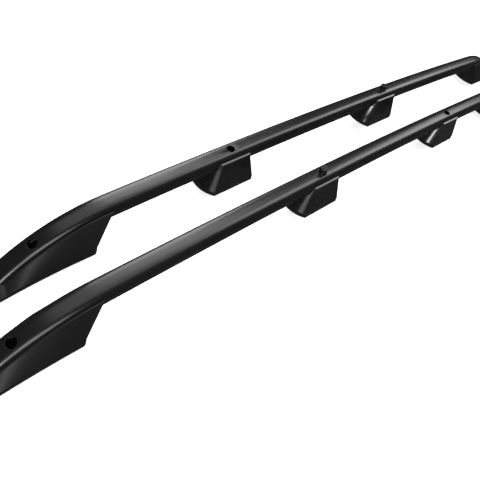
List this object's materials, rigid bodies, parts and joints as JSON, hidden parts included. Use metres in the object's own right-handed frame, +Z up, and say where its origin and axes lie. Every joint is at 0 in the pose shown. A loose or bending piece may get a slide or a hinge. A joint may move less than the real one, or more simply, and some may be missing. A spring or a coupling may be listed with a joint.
{
  "type": "roof side rail pair",
  "caption": "Pair of long black roof side rails with bent-down ends, each standing on moulded feet with access holes in the rail top.",
  "frame": {"origin": "on the ground under the middle of the pair, at the bottom centre of its box", "axes": "+X along the rails to the front, +Y to the left rail, +Z up"},
  "size_m": [1.9244, 0.2224, 0.1177],
  "materials": {
    "rail_coat": "satin black powder coat on aluminium",
    "foot_plastic": "fine-grained matte black moulding",
    "gasket_rubber": "matte black rubber",
    "sleeve_steel": "zinc-plated, turned",
    "fastener_steel": "zinc-plated"
  },
  "bodies": {
    "root": {"left_rail": "rail_coat", "left_foot_rear_end": "foot_plastic", "left_foot_rear_mid": "foot_plastic", "left_foot_front_mid": "foot_plastic", "left_foot_front_end": "foot_plastic", "left_gasket_rear_end": "gasket_rubber", "left_gasket_rear_mid": "gasket_rubber", "left_gasket_front_mid": "gasket_rubber", "left_gasket_front_end": "gasket_rubber", "left_sleeve_rear_end": "sleeve_steel", "left_sleeve_rear_mid": "sleeve_steel", "left_sleeve_front_mid": "sleeve_steel", "left_sleeve_front_end": "sleeve_steel", "left_screws_rear_end": "fastener_steel", "left_screws_rear_mid": "fastener_steel", "left_screws_front_mid": "fastener_steel", "left_screws_front_end": "fastener_steel", "left_nuts_rear_end": "fastener_steel", "left_nuts_rear_mid": "fastener_steel", "left_nuts_front_mid": "fastener_steel", "left_nuts_front_end": "fastener_steel", "right_rail": "rail_coat", "right_foot_rear_end": "foot_plastic", "right_foot_rear_mid": "foot_plastic", "right_foot_front_mid": "foot_plastic", "right_foot_front_end": "foot_plastic", "right_gasket_rear_end": "gasket_rubber", "right_gasket_rear_mid": "gasket_rubber", "right_gasket_front_mid": "gasket_rubber", "right_gasket_front_end": "gasket_rubber", "right_sleeve_rear_end": "sleeve_steel", "right_sleeve_rear_mid": "sleeve_steel", "right_sleeve_front_mid": "sleeve_steel", "right_sleeve_front_end": "sleeve_steel", "right_screws_rear_end": "fastener_steel", "right_screws_rear_mid": "fastener_steel", "right_screws_front_mid": "fastener_steel", "right_screws_front_end": "fastener_steel", "right_nuts_rear_end": "fastener_steel", "right_nuts_rear_mid": "fastener_steel", "right_nuts_front_mid": "fastener_steel", "right_nuts_front_end": "fastener_steel"}
  },
  "joints": []
}
